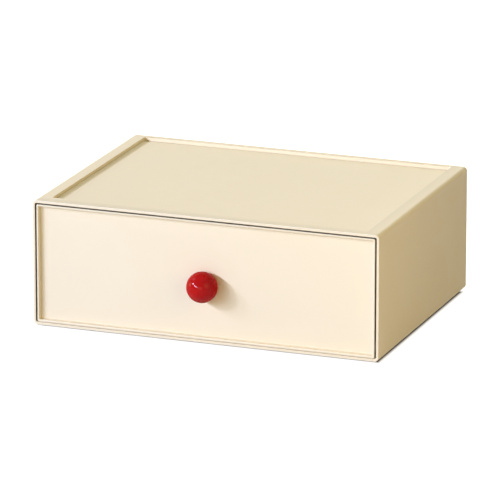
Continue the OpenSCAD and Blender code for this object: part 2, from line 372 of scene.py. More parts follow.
class Recipe:
    """The node tree of a material or a world, written by short calls."""

    def __init__(self, owner: bpy.types.Material | bpy.types.World) -> None:
        """Empties the owner's tree."""
        owner.use_nodes = True
        self.owner, self.tree = owner, owner.node_tree
        self.tree.nodes.clear()

    @cached_property
    def place(self) -> Socket:
        """The piece's own coordinates."""
        return self.add("TexCoord").outputs["Object"]

    @cached_property
    def axes(self) -> tuple[Socket, ...]:
        """Those coordinates one by one: x, y and z."""
        return tuple(self.add("SeparateXYZ", {0: self.place}).outputs)

    def add(
        self, kind: str, inputs: dict[Any, Any] | None = None, **settings: Any
    ) -> bpy.types.Node:
        """Adds a node.

        Args:
            kind: The node's type, without ShaderNode before it.
            inputs: A value or another node's socket for each input, by name or number.
            settings: The node's own properties.

        Returns:
            The node.
        """
        node = self.tree.nodes.new(f"ShaderNode{kind}")
        for name, value in settings.items():
            setattr(node, name, value)
        for name, value in (inputs or {}).items():
            socket = node.inputs[name]
            if isinstance(value, Socket):
                self.tree.links.new(value, socket)
            elif socket.type == "RGBA":
                socket.default_value = (*value, 1.0)
            else:
                socket.default_value = value
        return node

    def noise(self, cells: float, detail: float = 2.0, stretch: Point = (1.0, 1.0, 1.0)) -> Socket:
        """Cloudy noise.

        Args:
            cells: How many clouds there are to the metre.
            detail: How many finer layers they have.
            stretch: How much denser they are along each axis.

        Returns:
            The noise, nearly always within USUAL.
        """
        spread = self.add("Mapping", {"Vector": self.place, "Scale": stretch})
        values = {"Vector": spread.outputs[0], "Scale": cells, "Detail": detail}
        return self.add("TexNoise", values).outputs["Fac"]

    def ranged(self, value: Socket, low: float, high: float, span: Pair = USUAL) -> Socket:
        """A value spread from span to between low and high."""
        values = dict(enumerate((value, *span, low, high)))
        return self.add("MapRange", values).outputs[0]

    def clouds(self, cells: float, detail: float, low: float = 0.0, high: float = 1.0) -> Socket:
        """Cloudy noise spread to between low and high."""
        return self.ranged(self.noise(cells, detail), low, high)

    def ramp(
        self, value: Socket, start: float, end: float, low: float = 0.0, high: float = 1.0
    ) -> Socket:
        """low up to the place start, in millimetres, and high from the place end on."""
        return self.ranged(value, low, high, (start * MM, end * MM))

    def maths(self, operation: str, a: Any, b: Any = 0.0) -> Socket:
        """One sum of two values."""
        return self.add("Math", {0: a, 1: b}, operation=operation).outputs[0]

    def product(self, *values: Any) -> Socket:
        """All the values multiplied together."""
        return reduce(partial(self.maths, "MULTIPLY"), values)

    def largest(self, *values: Any) -> Socket:
        """The largest of the values."""
        return reduce(partial(self.maths, "MAXIMUM"), values)

    def mixed(self, share: Socket, first: Any, second: Any) -> Socket:
        """A colour between two others."""
        values = {0: share, 6: first, 7: second}
        return self.add("Mix", values, data_type="RGBA").outputs[2]

    def edge(self, sign: float = 1.0) -> Socket:
        """How much a point lies on an outward edge, or in a hollow where sign is -1."""
        mark = self.add("Attribute", attribute_name=EDGE).outputs["Fac"]
        return self.largest(self.product(mark, sign), 0.0)

    def seen_directly(self) -> Socket:
        """1 for rays from the camera, mirrors and glass, 0 for light gathered by surfaces."""
        path = self.add("LightPath").outputs
        return self.largest(*(path[f"Is {k} Ray"] for k in ("Camera", "Glossy", "Transmission")))

    def bump(self, height: Socket, rise: float, under: Socket | None = None) -> Socket:
        """A normal tilted by a height.

        Args:
            height: The height, about 0 to 1.
            rise: How far 1 stands out, in millimetres.
            under: The normal of a coarser bump to add this one to.

        Returns:
            The new normal.
        """
        values = {"Height": height, "Distance": rise * MM, "Strength": 1.0}
        if under is not None:
            values["Normal"] = under
        return self.add("Bump", values).outputs[0]

    def done(self, shader: bpy.types.Node, output: str = "OutputMaterial") -> Any:
        """Joins the shader to the output and hands over the tree's owner."""
        self.add(output, {"Surface": shader.outputs[0]})
        return self.owner

    def surface(self, values: dict[str, Any]) -> bpy.types.Material:
        """The material of a principled shader with these values."""
        return self.done(self.add("BsdfPrincipled", values))


class Along(Enum):
    """What a ramp is measured along: x either way from the middle, or an axis."""

    ASIDE = 0
    X = 1
    Y = 2
    Z = 3


ASIDE, X, Y, Z = Along


@dataclass(frozen=True)
class Ramp:
    """A cover that goes from low at start to high at end, both in millimetres."""

    along: Along
    start: float
    end: float
    low: float = 0.0
    high: float = 1.0


@dataclass(frozen=True)
class PaintedShade:
    """A painted shade over a plastic: a darker tone laid where shade falls. Each patch of it is the
    product of its ramps.
    """

    tone: Colour
    patches: tuple[tuple[Ramp, ...], ...]
    cover: Pair = (1.0, 1.0)
    cells: float = 90.0

    def share(self, r: Recipe) -> Socket:
        """How much of the painted shade lies at each point.

        Args:
            r: The recipe of the material that it lies on.

        Returns:
            The thickest patch's share there, 0 to 1, a little cloudy.
        """
        places = r.maths("ABSOLUTE", r.axes[0]), *r.axes
        patches = [
            [r.ramp(places[e.along.value], e.start, e.end, e.low, e.high) for e in patch]
            for patch in self.patches
        ]
        thickest = r.largest(*(r.product(*ramps) for ramps in patches))
        return r.product(thickest, r.clouds(self.cells, 3.0, *self.cover))


# Painted shade on both walls of the gap round the drawer front, in a line just behind its edges: a
# near-black tone where the gap's shade falls.
IN_GAP = (
    Ramp(ASIDE, 138.55, 138.15), Ramp(Z, 98.8, 98.4), Ramp(Z, 4.0, 5.5),
    Ramp(Y, -104.05, -103.75), Ramp(Y, -100.9, -101.9),
)
GAP_PAINTED_SHADE = PaintedShade(
    # the near-black tone painted as the gap's shade
    (0.075, 0.055, 0.018),
    ((Ramp(ASIDE, 136.15, 136.35), *IN_GAP), (Ramp(Z, 96.7, 96.9), *IN_GAP)),
    (0.95, 0.83),
)
# Painted shade on the casing's top: a darker tone on the right rim and on the front rim, deeper
# towards its edge, and a painted shadow at the foot of the recess's side walls.
ON_RIM = (Ramp(Z, 99.2, 99.9), Ramp(Y, -103.6, -102.8))
TOP_PAINTED_SHADE = PaintedShade(
    # the darker tone painted as shade and shadow on the top
    (0.69, 0.61, 0.455),
    (
        (Ramp(X, 127.9, 128.7), Ramp(X, 128.7, 133.9, 0.55, 0.34), *ON_RIM),
        (Ramp(Y, -93.0, -100.5, 0.0, 0.65), *ON_RIM),
        (
            Ramp(ASIDE, 123.9, 127.9), Ramp(ASIDE, 129.4, 128.7),
            Ramp(Z, 96.9, 97.2), Ramp(Z, 98.4, 97.9), Ramp(Y, -93.0, -92.2),
        ),
    ),
)


@dataclass(frozen=True)
class Finish:
    """What every finish has: a name, the record's slot that it is for, and a main tone.

    Fields ending in cells are clouds of noise to the metre, and grain, wave and peel are
    depths in millimetres.
    """

    name: str
    slot: Slot
    tone: Colour

    def recipe(self) -> Recipe:
        """A new material's recipe."""
        return Recipe(bpy.data.materials.new(self.name))

    def material(self) -> bpy.types.Material:
        """Builds the material. Each finish has its own."""
        raise NotImplementedError


@dataclass(frozen=True)
class MouldedPlastic(Finish):
    """Satin plastic: eroded grain, a drift in tone, edges paled as a painted highlight, painted
    shade in hollows, and films of painted shade.
    """

    drift: Colour
    # The paler tone painted on outward edges as a highlight.
    painted_edge_light: Colour
    painted_shades: tuple[PaintedShade, ...] = ()
    roughness: Pair = (0.42, 0.51)
    # Painted shade: the darker tone laid in hollow corners.
    hollow: Colour = (0.5, 0.4, 0.22)
    hollow_shade_cover: float = 0.45
    painted_edge_light_cover: Pair = (0.45, 1.0)
    drift_cells: float = 16.0
    painted_edge_light_cells: float = 140.0
    sheen_cells: float = 75.0
    grain_cells: float = 1500.0
    wave_cells: float = 28.0
    grain: float = 0.012
    wave: float = 0.05
    gloss: float = 0.3

    def material(self) -> bpy.types.Material:
        """Builds the material.

        Returns:
            The tones over one another, with a painted highlight on edges and painted shade in
            hollows and films, on a waved and grained skin.
        """
        r = self.recipe()
        base = r.mixed(r.clouds(self.drift_cells, 3.0), self.tone, self.drift)
        wear_and_edge_light = r.product(r.edge(), r.clouds(self.painted_edge_light_cells, 3.0, *self.painted_edge_light_cover))
        # Outward edges take a paler tone, patchy: a painted highlight along them.
        base = r.mixed(wear_and_edge_light, base, self.painted_edge_light)
        # Hollow corners take a darker tone: painted shade where the corners' shade falls.
        base = r.mixed(r.product(r.edge(-1.0), self.hollow_shade_cover), base, self.hollow)
        # Each film is a painted shade laid over the tone.
        for film in self.painted_shades:
            base = r.mixed(film.share(r), base, film.tone)
        wave = r.bump(r.noise(self.wave_cells, 1.0), self.wave)
        return r.surface({
            "Base Color": base, "Roughness": r.clouds(self.sheen_cells, 4.0, *self.roughness),
            "Normal": r.bump(r.noise(self.grain_cells), self.grain, wave),
            "IOR": 1.47, "Specular IOR Level": self.gloss,
        })


@dataclass(frozen=True)
class GlossLacquer(Finish):
    """Red lacquer on a turned ball: a slightly uneven skin under a clear coat."""

    deep: Colour
    wear_and_edge_light: Colour
    rubbed_cover: float = 0.6
    tone_cells: float = 60.0
    sheen_cells: float = 220.0
    peel_cells: Pair = (90.0, 420.0)
    peel: Pair = (0.02, 0.004)
    roughness: Pair = (0.24, 0.34)
    index: float = 1.45
    coat: float = 0.3
    coat_roughness: float = 0.07

    def material(self) -> bpy.types.Material:
        """Builds the material.

        Returns:
            The red skin, which mirrors nothing itself, under the coat, which does.
        """
        r = self.recipe()
        base = r.mixed(r.clouds(self.tone_cells, 3.0), self.tone, self.deep)
        base = r.mixed(r.product(r.edge(), self.rubbed_cover), base, self.wear_and_edge_light)
        coarse = r.bump(r.noise(self.peel_cells[0], 1.0), self.peel[0])
        peel = r.bump(r.noise(self.peel_cells[1]), self.peel[1], coarse)
        return r.surface({
            "Base Color": base, "Roughness": r.clouds(self.sheen_cells, 3.0, *self.roughness),
            "Normal": peel, "IOR": self.index, "Specular IOR Level": 0.0,
            "Coat Normal": peel, "Coat IOR": self.index,
            "Coat Weight": self.coat, "Coat Roughness": self.coat_roughness,
        })


@dataclass(frozen=True)
class TurnedMetal(Finish):
    """Metal turned on a lathe or rolled: fine rings about an axis and a dulled film."""

    dulled: Colour
    roughness: Pair
    ring_cells: float
    rings: Point = (0.15, 1.0, 0.15)
    bright_edge: float = 0.5
    dull_cells: float = 260.0
    grain_cells: float = 500.0
    grain: float = 0.004
    ring_grain: float = 0.006

    def material(self) -> bpy.types.Material:
        """Builds the material.

        Returns:
            The metal, brighter on its edges and ringed.
        """
        r = self.recipe()
        base = r.mixed(r.clouds(self.dull_cells, 4.0), self.tone, self.dulled)
        lines = r.noise(self.ring_cells, 2.0, self.rings)
        skin = r.bump(r.noise(self.grain_cells), self.grain)
        return r.surface({
            "Base Color": r.mixed(r.product(r.edge(), self.bright_edge), base, self.tone),
            "Normal": r.bump(lines, self.ring_grain, skin), "Metallic": 1.0,
            "Roughness": r.ranged(lines, *self.roughness),
        })


@dataclass(frozen=True)
class PadRubber(Finish):
    """Matt grey rubber with specks and dusty edges."""

    dust: Colour
    dusty_edge: float = 0.7
    speck_cover: float = 0.5
    speck_span: Pair = (0.55, 0.75)
    speck_cells: float = 900.0
    grain_cells: float = 1100.0
    sheen_cells: float = 300.0
    grain: float = 0.03
    roughness: Pair = (0.72, 0.86)
    gloss: float = 0.3

    def material(self) -> bpy.types.Material:
        """Builds the material.

        Returns:
            The rubber with its specks.
        """
        r = self.recipe()
        specks = r.ranged(r.noise(self.speck_cells), 0.0, self.speck_cover, self.speck_span)
        dusty = r.largest(specks, r.product(r.edge(), self.dusty_edge))
        return r.surface({
            "Base Color": r.mixed(dusty, self.tone, self.dust),
            "Normal": r.bump(r.noise(self.grain_cells, 3.0), self.grain),
            "Roughness": r.clouds(self.sheen_cells, 2.0, *self.roughness),
            "Specular IOR Level": self.gloss,
        })


# The third tone of each plastic is painted on its outward edges as a highlight.
CREAM = MouldedPlastic(
    "cream_plastic_satin", Slot.CREAM,
    (0.86, 0.76, 0.565), (0.865, 0.77, 0.58), (0.95, 0.89, 0.74), painted_shades=(TOP_PAINTED_SHADE, GAP_PAINTED_SHADE),
)
TUB = MouldedPlastic(
    "tub_plastic_satin", Slot.TUB,
    (0.84, 0.74, 0.545), (0.845, 0.75, 0.56), (0.93, 0.87, 0.72), roughness=(0.48, 0.57),
)
LACQUER = GlossLacquer(
    "red_lacquer_coated", Slot.RED, (0.46, 0.0008, 0.0012), (0.4, 0.0006, 0.001), (0.52, 0.01, 0.01)
)
BRASS = TurnedMetal(
    "brass_turned", Slot.BRASS, (0.83, 0.62, 0.29), (0.62, 0.44, 0.19), (0.24, 0.4), 5200.0
)
STEEL = TurnedMetal(
    "zinc_steel_plated", Slot.STEEL, (0.72, 0.73, 0.75), (0.55, 0.57, 0.60), (0.28, 0.44), 3600.0
)
RUBBER = PadRubber("grey_rubber_pad", Slot.RUBBER, (0.12, 0.118, 0.11), (0.3, 0.29, 0.27))


# -------- the box


def fitted(piece: bpy.types.Object, finish: Finish, body: Body, node: str) -> None:
    """Dresses a finished piece and puts it in its CAD node's place.

    Args:
        piece: The object, at the origin.
        finish: What its material comes from.
        body: The CAD body that it moves with.
        node: The CAD node that it stands for.
    """
    made = bpy.data.materials.get(finish.name) or finish.material()
    piece.data.materials.clear()
    piece.data.materials.append(made)
    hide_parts(node)
    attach(piece, body.value)
    log.info("%s: %d faces, on %s", piece.name, len(piece.data.polygons), body.value)


@dataclass
class Casing:
    """The open-ended casing, its rear panel and its four rubber feet."""

    edge_round: float = 0.4
    rear_round: float = 0.3
    foot_radius: float = 7.0
    foot_height: float = 2.3
    foot_chamfer: float = 0.3
    foot_x: float = 120.2
    foot_y: Pair = (-84.0, 91.0)
    foot_steps: int = 72
    ring_step: float = 1.3
    ring_depth: float = 0.28
    ring_margin: float = 0.4
    ring_points: int = 61

    def build(self) -> None:
        """Builds and dresses every piece of the casing."""
        for node, radius in (("casing_shell", self.edge_round), ("rear_panel", self.rear_round)):
            fitted(softened_copy(node, radius), CREAM, Body.CASING, node)
        for end, y in zip(("front", "back"), self.foot_y):
            for side, x in (("left", -self.foot_x), ("right", self.foot_x)):
                node = f"foot_{end}_{side}"
                foot = self.foot((x, y, 0.0)).as_object(f"{node}_pad")
                fitted(foot, RUBBER, Body.CASING, node)

    def foot(self, middle: Point) -> Shell:
        """One pad, spun about its own upright line.

        The sole rises by half the ring depth times one minus the cosine of the radius
        over the ring step, so that round ridges stand on the floor. A chamfer, a
        straight side and a flat top follow.

        Args:
            middle: Where its line meets the floor.

        Returns:
            The pad.
        """
        flat = self.foot_radius - self.foot_chamfer
        ridged = self.ring_step * math.floor((flat - self.ring_margin) / self.ring_step)
        radius = np.linspace(0, ridged, self.ring_points)
        rise = self.ring_depth / 2 * (1 - np.cos(2 * np.pi * radius / self.ring_step))
        sole = np.column_stack([radius, rise, radius * 0])
        corners = [
            (ridged, 0.0, 0.0, 0.0), (flat, 0.0, 0.12, 1.0),
            (self.foot_radius, self.foot_chamfer, 0.12, 1.0),
            (self.foot_radius, self.foot_height, 0.15, 0.5), (0.0, self.foot_height, 0.0, 0.0),
        ]
        profile = np.vstack([sole, softened(corners, closed=False)[1:]])
        return turned(profile, middle, Axis.ALONG_Z, self.foot_steps, closed=False)


@dataclass
class DrawerFront:
    """The flanged front: a sunken panel, its flange and skirt, and four snap hooks."""

    half_width: float = 136.9
    low: float = 4.0
    high: float = 97.4
    front_y: float = -104.0
    panel_y: float = -100.0
    panel_back_y: float = -98.0
    skirt_y: float = -94.7
    flange: float = 1.6
    outer_radius: float = 1.5
    inner_radius: float = 0.6
    flange_round: float = 0.5
    hole_radius: float = 1.9
    hole_z: float = 46.7
    plain: float = 12.0
    blend: float = 8.0
    circle: float = 5.0
    corner_points: int = 9
    side_points: int = 24
    hook_x: float = 109.0
    hook_z: Pair = (21.9, 76.5)
    hook_width: float = 8.0
    hook_thickness: float = 1.6
    hook_barb: float = 0.8
    hook_reach: float = 3.8
    hook_catch: float = 2.0
    hook_root: float = 0.5
    hook_draw: float = 0.2

    def build(self) -> None:
        """Builds and dresses the drawer front."""
        hooks = [
            self.hook(x, z, up)
            for x in (-self.hook_x, self.hook_x)
            for z, up in zip(self.hook_z, (-1.0, 1.0))
        ]
        front = joined([self.tray(), *hooks]).as_object("drawer_front_moulding")
        fitted(front, CREAM, Body.DRAWER, "drawer_front")

    def ring(self, inset: Array) -> Array:
        """Points round the front's outline, drawn in by each inset.

        An outline is four quarter circles joined by straight sides. Past the plain
        inset it changes evenly, over the blend's width, into a circle about the screw
        hole, and from there the circle shrinks.

        Args:
            inset: How far each ring is drawn in, (v,).

        Returns:
            Points (u, v, 2) in X and Z.
        """
        drawn = np.minimum(inset, self.plain)
        radius = np.interp(drawn, [0, self.flange], [self.outer_radius, self.inner_radius])
        half = np.array([self.half_width, (self.high - self.low) / 2])
        middle = np.array([0.0, (self.low + self.high) / 2])
        quarter = np.linspace(0, np.pi / 2, self.corner_points)
        angle = (quarter + np.arange(4)[:, None] * np.pi / 2)[..., None]
        centre = half - (drawn + radius)[:, None]
        sign = np.array([(1, 1), (-1, 1), (-1, -1), (1, -1)], float)[:, None, None]
        turned_to = np.stack([np.cos(angle), np.sin(angle)], axis=-1)
        corners = sign * centre + turned_to * radius[:, None]
        ahead = np.roll(corners[:, :1], -1, axis=0)
        way = np.linspace(0, 1, self.side_points + 2)[1:-1, None, None]
        sides = corners[:, -1:] * (1 - way) + ahead * way
        outline = np.concatenate([corners, sides], axis=1).reshape(-1, len(inset), 2) + middle
        past = inset - self.plain - self.blend
        share = np.clip(-past / self.blend, 0, 1)[:, None]
        hole = np.array([0.0, self.hole_z])
        drawn = (self.circle - np.maximum(past, 0))[:, None]
        circle = hole + unit(outline - hole) * drawn
        return outline * share + circle * (1 - share)

    def tray(self) -> Shell:
        """The panel, flange and skirt: one closed profile carried round the outline.

        Returns:
            The tray, with the screw's hole through its panel.
        """
        inner, wall, rim = self.plain + self.blend, self.flange, self.flange_round
        edge_in = inner + self.circle - self.hole_radius
        face, back, front, skirt = self.panel_y, self.panel_back_y, self.front_y, self.skirt_y
        corners = [
            (edge_in, face, 0.2, 1.0), (inner, face, 0.0, 0.0), (self.plain, face, 0.0, 0.0),
            (wall, face, 0.5, -1.0), (wall, front, rim, 1.0), (0.0, front, rim, 1.0),
            (0.0, skirt, 0.3, 1.0), (wall, skirt, 0.3, 1.0), (wall, back, 0.4, -1.0),
            (self.plain, back, 0.0, 0.0), (inner, back, 0.0, 0.0), (edge_in, back, 0.15, 1.0),
        ]
        profile = softened(corners, closed=True)
        flat = self.ring(profile[:, 0])
        depth = np.broadcast_to(profile[:, 1], flat.shape[:2])
        points = np.stack([flat[..., 0], depth, flat[..., 1]], axis=2)
        return grid(points, np.broadcast_to(profile[:, 2], depth.shape), closed=True)

    def hook(self, x: float, z: float, up: float) -> Shell:
        """One hook: its barbed outline in Y and Z, carried along X and drawn in at both ends.

        Args:
            x: The middle of its width.
            z: The middle of its stem.
            up: 1 where the barb points up, -1 where it points down.

        Returns:
            The hook, with its root inside the panel.
        """
        half, root = self.hook_thickness / 2, self.panel_back_y - self.hook_root
        reach, catch = self.panel_back_y + self.hook_reach, self.panel_back_y + self.hook_catch
        corners = [
            (root, -half, 0.05, 0.0), (reach, -half, 0.25, 1.0), (reach, half, 0.2, 1.0),
            (catch, half + self.hook_barb, 0.15, 1.0), (catch, half, 0.1, 0.0),
            (root, half, 0.05, 0.0),
        ]
        outline = softened(corners, closed=True, steps=4)
        way = np.linspace(0, np.pi / 2, 4)
        draw = self.hook_draw * np.concatenate([1 - np.sin(way), (1 - np.sin(way))[::-1]])
        end = self.hook_width / 2 - self.hook_draw * (1 - np.cos(way))
        along = x + np.concatenate([-end, end[::-1]])
        inward = unit(outline[:, :2].mean(axis=0) - outline[:, :2])
        flat = outline[:, None, :2] + inward[:, None] * draw[:, None]
        along = np.broadcast_to(along, flat.shape[:2])
        points = np.stack([along, flat[..., 0], z + up * flat[..., 1]], axis=2)
        edge = np.maximum(outline[:, None, 2], (draw > 0) * 0.6)
        return grid(points, edge, closed=False)


@dataclass
class DrawerTub:
    """The sliding tub, one moulding with its runners, edge beads and stop tabs."""

    edge_round: float = 0.35

    def build(self) -> None:
        """Builds and dresses the tub."""
        fitted(softened_copy("drawer_tub", self.edge_round), TUB, Body.DRAWER, "drawer_tub")


@dataclass
class Knob:
    """The lacquered ball, its brass insert, and the screw and washer that hold it."""

    line: Point = (0.0, 0.0, 46.7)
    panel_y: float = -100.0
    ball_radius: float = 12.0
    seat_radius: float = 8.8
    bore_radius: float = 3.05
    bore_end_y: float = -110.0
    insert_radius: float = 3.0
    insert_bore: float = 1.8
    insert_length: float = 9.0
    groove_half: float = 0.8
    groove_depth: float = 0.4
    screw_radius: float = 1.75
    screw_end_y: float = -107.2
    screw_chamfer: float = 0.4
    head_y: float = -95.2
    head_radius: float = 4.0
    head_edge: float = 0.8
    head_height: float = 2.6
    cross_reach: float = 2.2
    cross_half: float = 0.45
    cross_depth: float = 1.5
    cross_turn: float = 20.0
    cross_soft: float = 0.14
    cross_tip: float = 1.3
    cross_flare: float = 0.12
    cross_taper: float = 0.1
    pitch: float = 0.6
    thread_depth: float = 0.3
    thread_fade: float = 0.5
    thread_start: float = 0.3
    thread_stop: float = 0.9
    insert_thread: float = 0.12
    knurls: int = 15
    knurl_lean: float = 2.2
    knurl_depth: float = 0.14
    washer_radius: float = 4.8
    washer_thickness: float = 1.0
    washer_play: float = 0.15
    ball_steps: int = 128
    ball_points: int = 97
    dome_points: int = 40
    washer_steps: int = 96
    thread_steps: int = 240
    insert_step: float = 0.12
    screw_step: float = 0.075

    def build(self) -> None:
        """Builds and dresses the knob's four pieces."""
        for form, node, kind, finish in (
            (self.ball, "knob_ball", "lacquered", LACQUER),
            (self.insert, "knob_insert", "knurled", BRASS),
            (self.screw, "knob_screw", "threaded", STEEL),
            (self.washer, "knob_washer", "plain", STEEL),
        ):
            fitted(form().as_object(f"{node}_{kind}"), finish, Body.DRAWER, node)

    def ball(self) -> Shell:
        """The ball, spun about the knob's line.

        From its front pole the radius is the sine of the angle and the height the
        cosine, both times the ball's radius, as far as the flat seat. The seat, the
        bore's wall and the bore's end close it.

        Returns:
            The ball.
        """
        size, seat_y, end_y = self.ball_radius, self.panel_y, self.bore_end_y
        middle_y = seat_y - math.sqrt(size**2 - self.seat_radius**2)
        stop = math.pi - math.asin(self.seat_radius / size) - 0.02
        angle = np.linspace(0, stop, self.ball_points)
        out, y = size * np.sin(angle), middle_y - size * np.cos(angle)
        corners = [
            (out[-1], y[-1], 0.0, 0.0), (self.seat_radius, seat_y, 0.1, 1.0),
            (self.bore_radius, seat_y, 0.12, 1.0), (self.bore_radius, end_y, 0.3, 0.0),
            (0.0, end_y, 0.0, 0.0),
        ]
        seat = softened(corners, closed=False)
        profile = np.vstack([np.column_stack([out, y, angle * 0]), seat[1:]])
        return turned(profile, self.line, Axis.ALONG_Y, self.ball_steps, closed=False)

    def washer(self) -> Shell:
        """The washer: a closed profile with rounded corners, spun about the knob's line.

        Returns:
            The washer.
        """
        bore, back = self.screw_radius + self.washer_play, self.head_y - self.washer_thickness
        corners = [
            (bore, back, 0.12, 1.0), (self.washer_radius, back, 0.25, 1.0),
            (self.washer_radius, self.head_y, 0.15, 1.0), (bore, self.head_y, 0.12, 1.0),
        ]
        profile = softened(corners, closed=True)
        return turned(profile, self.line, Axis.ALONG_Y, self.washer_steps, closed=True)

    def wound(self, angle: Array, y: Array) -> Array:
        """How deep a thread is cut, from 0 at its crest to 1 at its root.

        The thread climbs one pitch to the turn, so its phase is the height over the
        pitch less the turned share, and its section is a triangle with blunted tips.

        Args:
            angle: Angles about the line, (u, 1).
            y: Heights along it, (v,).

        Returns:
            The depth at each point, (u, v).
        """
        phase = (y / self.pitch - angle / (2 * np.pi)) % 1.0
        return np.clip(1.25 * np.abs(2 * phase - 1) - 0.1, 0.0, 1.0)

    def about_line(self, points: Array, change: Array) -> Array:
        """Points moved straight out from the knob's line.

        Args:
            points: The points, (u, v, 3).
            change: How far each moves, (u, v), in millimetres.

        Returns:
            The moved points.
        """
        out = (points - np.array(self.line)) * np.array([1.0, 0.0, 1.0])
        return points + unit(out) * change[..., None]

    def insert(self) -> Shell:
        """The insert: a closed profile spun about the line, knurled outside, threaded inside.

        The knurl draws the outer wall in by its depth times one less the larger of two
        crossed waves, one leaning each way, outside the locking groove.

        Returns:
            The insert.
        """
        front, back = self.panel_y - self.insert_length, self.panel_y
        middle, steps = (front + back) / 2, self.thread_steps
        low, high = middle - self.groove_half, middle + self.groove_half
        inner, outer = self.insert_bore, self.insert_radius
        sunk = outer - self.groove_depth
        corners = [
            (inner, front, 0.2, 0.0), (outer, front, 0.3, 0.6), (outer, low, 0.1, 0.6),
            (sunk, low, 0.1, 0.0), (sunk, high, 0.1, 0.0), (outer, high, 0.1, 0.6),
            (outer, back, 0.2, 0.6), (inner, back, 0.2, 0.6),
        ]
        profile = softened(corners, closed=True, steps=4)
        profile = dense(profile, self.insert_step, closed=True)
        points, edge = spun(profile, self.line, Axis.ALONG_Y, steps, closed=True)
        angle, y = turns(steps), profile[:, 1]
        round_it, lean = self.knurls * angle, self.knurl_lean * (y - middle)
        crossed = np.maximum(np.abs(np.sin(round_it + lean)), np.abs(np.sin(round_it - lean)))
        wall = np.abs(profile[:, 0] - outer) < 0.02
        hollow = np.abs(profile[:, 0] - inner) < 0.02
        cut = self.insert_thread * (1 - self.wound(angle, y))
        change = cut * hollow - self.knurl_depth * (1 - crossed) * wall
        return grid(self.about_line(points, change), edge, closed=True)

    def screw(self) -> Shell:
        """The screw: a profile spun about the line, its shank threaded and its head crossed.

        The thread draws the shank in by its own depth, faded out near the end and near
        the head. The cross sinks the head's dome: each arm is deep where the distance
        across it is less than its half width and fades at its tip.

        Returns:
            The screw.
        """
        steps, fade = self.thread_steps, self.thread_fade
        tip, head, side = self.screw_end_y, self.head_y, self.screw_radius
        point = self.screw_chamfer
        dome_y, top = head + self.head_edge, head + self.head_height
        dome = np.linspace(0, np.pi / 2, self.dome_points)[1:-1]
        corners = [
            (0.0, tip, 0.0, 0.0), (side - point, tip, 0.1, 1.0), (side, tip + point, 0.1, 1.0),
            (side, head, 0.1, 0.0), (self.head_radius, head, 0.15, 1.0),
            (self.head_radius, dome_y, 0.0, 0.0),
        ]
        shank = softened(corners, closed=False)
        out, rise = self.head_radius * np.cos(dome) ** 0.9, (top - dome_y) * np.sin(dome)
        cap = np.column_stack([out, dome_y + rise, dome * 0])
        profile = np.vstack([shank, cap, [(0.0, top, 0.0)]])
        profile = dense(profile, self.screw_step, closed=False)
        points, edge = spun(profile, self.line, Axis.ALONG_Y, steps, closed=False)
        out, y = profile[1:-1, 0], profile[1:-1, 1]
        start, stop = tip + self.thread_start, head - self.thread_stop
        share = np.clip((y - start) / fade, 0, 1) * np.clip((stop - y) / fade, 0, 1)
        cut = self.thread_depth * self.wound(turns(steps), y) * share * (out > side - 0.5)
        points = self.about_line(points, -cut)
        sunk = self.cross(points[..., 0], points[..., 2] - self.line[2])
        points[..., 1] -= sunk * (y > dome_y)
        shell = grid(points, edge, closed=False)
        shell.points[-2:, 1] = tip, top - self.cross_depth
        return shell

    def cross(self, x: Array, z: Array) -> Array:
        """How far the cross recess sinks the head.

        Args:
            x: Places across the head, (u, v).
            z: Places up it, from the knob's line, (u, v).

        Returns:
            The depth at each place, in millimetres.
        """
        turn = math.radians(self.cross_turn)
        a, b = x * math.cos(turn) + z * math.sin(turn), z * math.cos(turn) - x * math.sin(turn)
        arms = []
        for along, across in ((a, b), (b, a)):
            width = self.cross_half + self.cross_flare - self.cross_taper * np.abs(along)
            side = np.clip((width - np.abs(across)) / self.cross_soft + 0.5, 0, 1)
            tip = np.clip((self.cross_reach - np.abs(along)) / self.cross_tip, 0, 1)
            arms.append(side * tip)
        return self.cross_depth * np.maximum(*arms)


# -------- the studio


class Tint(Enum):
    """The colours of the studio's lamps."""

    COOL = (1.0, 1.11, 1.5)
    WARM = (1.0, 0.98, 0.77)
    SUNNY = (1.0, 0.9, 0.5)
    AMBER = (1.0, 0.73, 0.27)


@dataclass(frozen=True)
class SoftBox:
    """An oblong lamp whose shadows are softest along its length. Places are in metres."""

    name: str
    place: Point
    along: Point
    length: float
    width: float
    power: float
    tint: Tint
    aim: Point = (0.0, -0.05, 0.05)

    def build(self) -> None:
        """Hangs the lamp, turned to its aim, with its length along the given direction."""
        lamp = bpy.data.lights.new(self.name, "AREA")
        lamp.shape, lamp.size, lamp.size_y = "RECTANGLE", self.length, self.width
        lamp.energy, lamp.color = self.power, self.tint.value
        back = (Vector(self.place) - Vector(self.aim)).normalized()
        length = Vector(self.along)
        length = (length - back * length.dot(back)).normalized()
        turn = Matrix((length, back.cross(length), back)).transposed().to_4x4()
        linked(self.name, lamp).matrix_world = Matrix.Translation(self.place) @ turn
        log.info("lamp %s: %.1f W", self.name, self.power)


